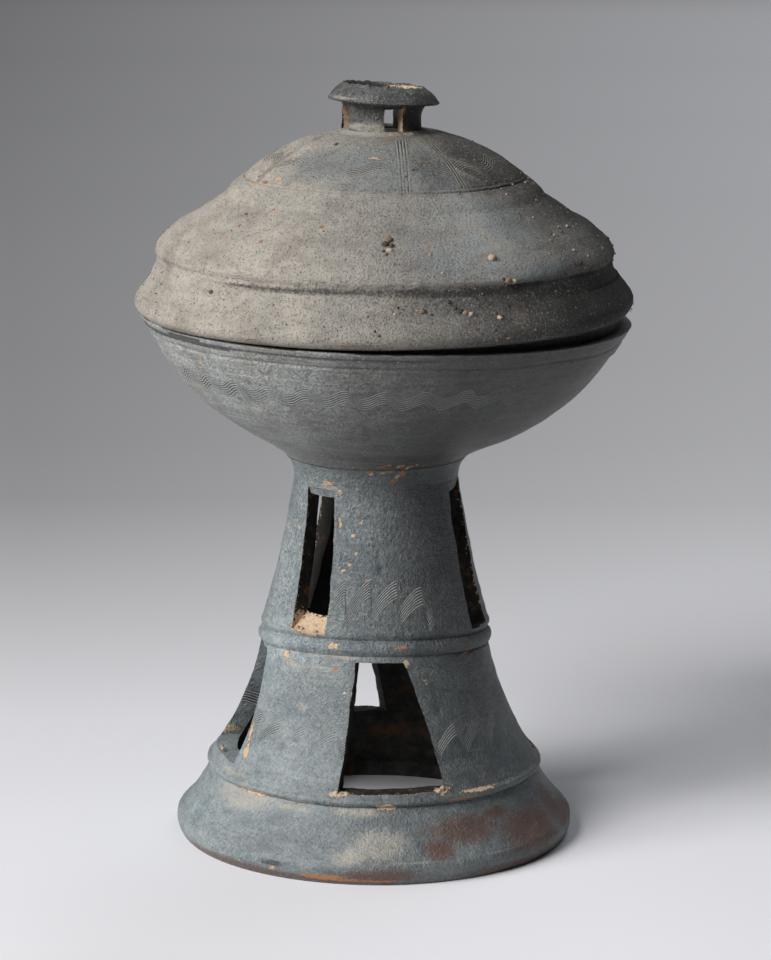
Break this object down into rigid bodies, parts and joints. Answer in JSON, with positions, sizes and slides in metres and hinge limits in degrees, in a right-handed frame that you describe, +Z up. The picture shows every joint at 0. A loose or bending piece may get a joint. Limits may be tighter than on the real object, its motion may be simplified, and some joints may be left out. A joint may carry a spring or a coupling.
{
  "type": "lidded pedestal dish",
  "caption": "Stoneware dish with a domed lid and pierced ring knob, on a tall flaring pedestal with two tiers of cut windows.",
  "frame": {"origin": "on the ground under the axis of the lid, which is the centre of the object's box", "axes": "+Z up along the turning axis, -Y towards the front window of the lower tier, +X to its right"},
  "size_m": [0.1582, 0.1582, 0.2433],
  "materials": {
    "pedestal_stoneware": "unglazed reduction-fired stoneware, blue-grey, rough, with ochre scuffs",
    "bowl_stoneware": "unglazed reduction-fired stoneware, dark blue-grey, faint sheen",
    "lid_stoneware": "unglazed stoneware under brown-grey kiln ash with grit",
    "knob_stoneware": "unglazed stoneware, nearly black, with cream chips",
    "luting_clay": "unglazed stoneware, smeared by hand"
  },
  "bodies": {
    "dish": {"pedestal": "pedestal_stoneware", "pedestal_luting_ring": "luting_clay", "bowl": "bowl_stoneware"},
    "cover": {"lid": "lid_stoneware", "knob": "knob_stoneware", "knob_luting_ring": "luting_clay"}
  },
  "joints": [
    {"name": "lid_lift", "type": "slide", "parent": "dish", "child": "cover", "axis": [0, 0, 1], "range_m": [0, 0.12]}
  ]
}
